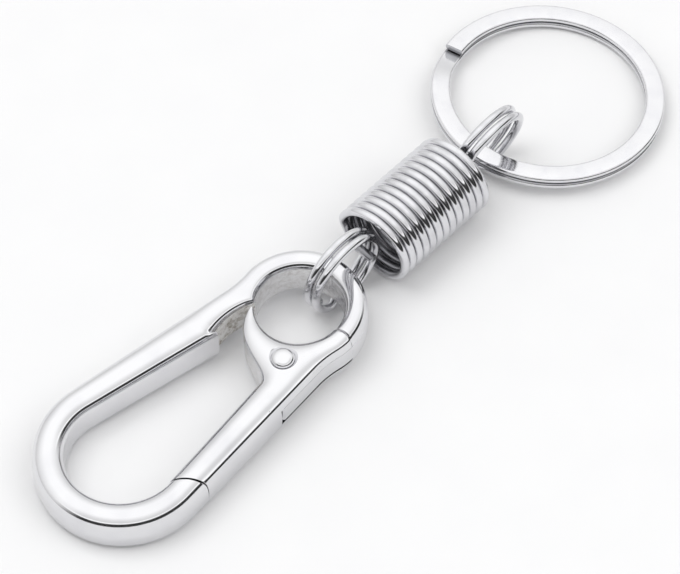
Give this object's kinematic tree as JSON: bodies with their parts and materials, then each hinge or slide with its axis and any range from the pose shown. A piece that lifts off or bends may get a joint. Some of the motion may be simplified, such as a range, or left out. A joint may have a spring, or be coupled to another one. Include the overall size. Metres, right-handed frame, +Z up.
{
  "type": "carabiner keychain",
  "caption": "Plated carabiner keychain: a pear-shaped snap hook with a sprung riveted gate, link rings, a close-wound coil spring and a flat split key ring.",
  "frame": {"origin": "centre of the bounding box's base, on the table the keychain lies on", "axes": "+X along the chain from the hook's loop to the key ring, +Y across it to the hook's plain arm, +Z up from the table"},
  "size_m": [0.1026, 0.03, 0.0118],
  "materials": {
    "hook_frame": "polished chrome plate on a zinc casting",
    "gate": "polished chrome plate on a zinc casting",
    "pivot_rivet": "plated rivet with a soft satin head",
    "gate_spring": "bare spring wire",
    "link_ring": "nickel-plated round wire",
    "coil_spring": "nickel-plated round wire",
    "key_ring": "nickel-plated flat spring band"
  },
  "bodies": {
    "hook": {"hook_frame": "hook_frame", "pivot_rivet": "pivot_rivet", "gate_spring": "gate_spring"},
    "gate": {"gate": "gate"},
    "lower_link": {"lower_link_ring": "link_ring"},
    "coil": {"coil_spring": "coil_spring"},
    "upper_link": {"upper_link_ring": "link_ring"},
    "key_ring": {"key_ring": "key_ring"}
  },
  "joints": [
    {"name": "gate_hinge", "type": "hinge", "parent": "hook", "child": "gate", "pos_m": [-0.01882, -0.00567, 0.00396], "axis": [0.0371, -0.0019, -0.9993], "range_deg": [0, 30], "stiffness_Nm_per_rad": 0.03, "springref_deg": -22.92, "deforming": ["gate_spring"]},
    {"name": "lower_link_swing", "type": "hinge", "parent": "hook", "child": "lower_link", "pos_m": [-0.01158, -0.0015, 0.00422], "axis": [-0.0371, 0.0019, 0.9993], "range_deg": [-60, 60]},
    {"name": "coil_swing", "type": "hinge", "parent": "lower_link", "child": "coil", "pos_m": [-0.00006, -0.0015, 0.00551], "axis": [0, 0, 1], "range_deg": [-12, 12]},
    {"name": "upper_link_swing", "type": "hinge", "parent": "coil", "child": "upper_link", "pos_m": [0.01844, -0.0015, 0.00551], "axis": [0, 0, 1], "range_deg": [-12, 12]},
    {"name": "key_ring_flip", "type": "hinge", "parent": "upper_link", "child": "key_ring", "pos_m": [0.02259, -0.0015, 0.0028], "axis": [0, -1, 0], "range_deg": [-80, 100]}
  ]
}
